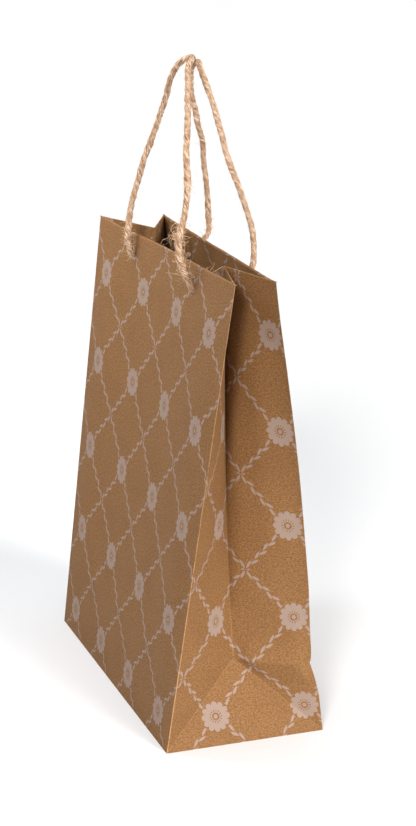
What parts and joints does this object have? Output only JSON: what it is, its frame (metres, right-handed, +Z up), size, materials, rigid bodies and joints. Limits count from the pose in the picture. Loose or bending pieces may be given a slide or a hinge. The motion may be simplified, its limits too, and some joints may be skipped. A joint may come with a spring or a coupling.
{
  "type": "gift bag",
  "caption": "Upright gusseted kraft paper gift bag with a printed flower lattice, a turned-in rim with stiffening cards and knotted rope loop handles.",
  "frame": {"origin": "middle of the flat bottom, on the surface that the bag stands on", "axes": "+Z up, +X along the width of the front and back walls, -Y towards the front wall and +Y towards the back wall"},
  "size_m": [0.1802, 0.083, 0.3266],
  "materials": {
    "kraft_paper": "matte brown kraft with a pale printed flower lattice",
    "grey_board": "matte grey-brown recycled board",
    "jute_rope": "hairy twisted natural jute"
  },
  "bodies": {
    "base": {"base_card": "grey_board", "bottom_front_flap": "kraft_paper", "bottom_back_flap": "kraft_paper", "bottom_left_flap": "kraft_paper", "bottom_right_flap": "kraft_paper", "left_gusset_foot": "kraft_paper", "right_gusset_foot": "kraft_paper"},
    "front_wall": {"front_panel": "kraft_paper", "front_card": "grey_board", "front_hem": "kraft_paper", "left_gusset_front": "kraft_paper", "right_gusset_front": "kraft_paper", "left_gusset_front_hem": "kraft_paper", "right_gusset_front_hem": "kraft_paper", "front_left_knot": "jute_rope", "front_right_knot": "jute_rope"},
    "back_wall": {"back_panel": "kraft_paper", "back_card": "grey_board", "back_hem": "kraft_paper", "left_gusset_back": "kraft_paper", "right_gusset_back": "kraft_paper", "left_gusset_back_hem": "kraft_paper", "right_gusset_back_hem": "kraft_paper", "back_left_knot": "jute_rope", "back_right_knot": "jute_rope", "side_seam_tab": "kraft_paper"},
    "front_loop": {"front_handle": "jute_rope"},
    "back_loop": {"back_handle": "jute_rope"}
  },
  "joints": [
    {"name": "front_wall_open", "type": "hinge", "parent": "base", "child": "front_wall", "pos_m": [0, -0.0415, 0], "axis": [1, 0, 0], "range_deg": [0, 6.5]},
    {"name": "back_wall_open", "type": "hinge", "parent": "base", "child": "back_wall", "pos_m": [0, 0.0415, 0], "axis": [-1, 0, 0], "range_deg": [0, 6.5]},
    {"name": "front_handle_swing", "type": "hinge", "parent": "front_wall", "child": "front_loop", "pos_m": [0, -0.01931, 0.21891], "axis": [1, 0, 0], "range_deg": [0, 160]},
    {"name": "back_handle_swing", "type": "hinge", "parent": "back_wall", "child": "back_loop", "pos_m": [0, 0.01931, 0.21891], "axis": [-1, 0, 0], "range_deg": [0, 160]}
  ]
}
